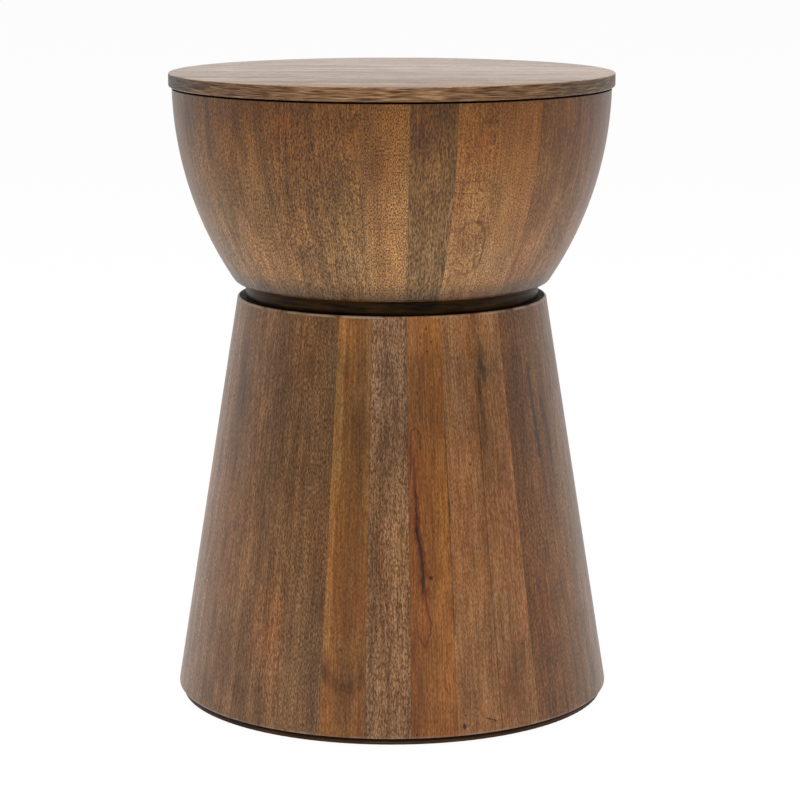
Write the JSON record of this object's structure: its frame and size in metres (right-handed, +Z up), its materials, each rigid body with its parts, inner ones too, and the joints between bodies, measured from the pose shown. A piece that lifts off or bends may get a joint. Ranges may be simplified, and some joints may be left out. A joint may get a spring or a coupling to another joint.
{
  "type": "drum side table",
  "caption": "Hourglass wooden side table: round board top on a staved bowl, recessed dark neck, flared staved cone base and recessed foot ring.",
  "frame": {"origin": "on the floor under the middle of the table", "axes": "+Z up along the table's axis, -Y towards the front of the picture, +X to its right"},
  "size_m": [0.406, 0.406, 0.577],
  "materials": {
    "top_wood": "satin oil over long grain",
    "stave_wood": "satin oil over long grain, staves of mixed tone",
    "dark_wood": "dark stain, satin",
    "inner_wood": "raw board",
    "dowel_wood": "raw dowel rod",
    "screw_steel": "zinc plated",
    "felt": "pressed felt"
  },
  "bodies": {
    "root": {"top_board_1": "top_wood", "top_board_2": "top_wood", "top_board_3": "top_wood", "top_board_4": "top_wood", "top_board_5": "top_wood", "top_board_6": "top_wood", "bowl_stave_pair_01": "stave_wood", "bowl_stave_pair_02": "stave_wood", "bowl_stave_pair_03": "stave_wood", "bowl_stave_pair_04": "stave_wood", "bowl_stave_pair_05": "stave_wood", "bowl_stave_pair_06": "stave_wood", "bowl_stave_pair_07": "stave_wood", "bowl_stave_pair_08": "stave_wood", "bowl_stave_pair_09": "stave_wood", "bowl_stave_pair_10": "stave_wood", "bowl_stave_pair_11": "stave_wood", "bowl_stave_pair_12": "stave_wood", "bowl_stave_pair_13": "stave_wood", "bowl_stave_pair_14": "stave_wood", "bowl_stave_pair_15": "stave_wood", "base_stave_01": "stave_wood", "base_stave_02": "stave_wood", "base_stave_03": "stave_wood", "base_stave_04": "stave_wood", "base_stave_05": "stave_wood", "base_stave_06": "stave_wood", "base_stave_07": "stave_wood", "base_stave_08": "stave_wood", "base_stave_09": "stave_wood", "base_stave_10": "stave_wood", "base_stave_11": "stave_wood", "base_stave_12": "stave_wood", "base_stave_13": "stave_wood", "base_stave_14": "stave_wood", "base_stave_15": "stave_wood", "base_stave_16": "stave_wood", "base_stave_17": "stave_wood", "base_stave_18": "stave_wood", "base_stave_19": "stave_wood", "base_stave_20": "stave_wood", "base_stave_21": "stave_wood", "base_stave_22": "stave_wood", "base_stave_23": "stave_wood", "base_stave_24": "stave_wood", "base_stave_25": "stave_wood", "base_stave_26": "stave_wood", "base_stave_27": "stave_wood", "base_stave_28": "stave_wood", "base_stave_29": "stave_wood", "base_stave_30": "stave_wood", "neck_disc": "dark_wood", "foot_ring": "dark_wood", "bowl_floor": "inner_wood", "base_head": "inner_wood", "top_dowels": "dowel_wood", "neck_screws": "screw_steel", "foot_screws": "screw_steel", "felt_glides": "felt"}
  },
  "joints": []
}
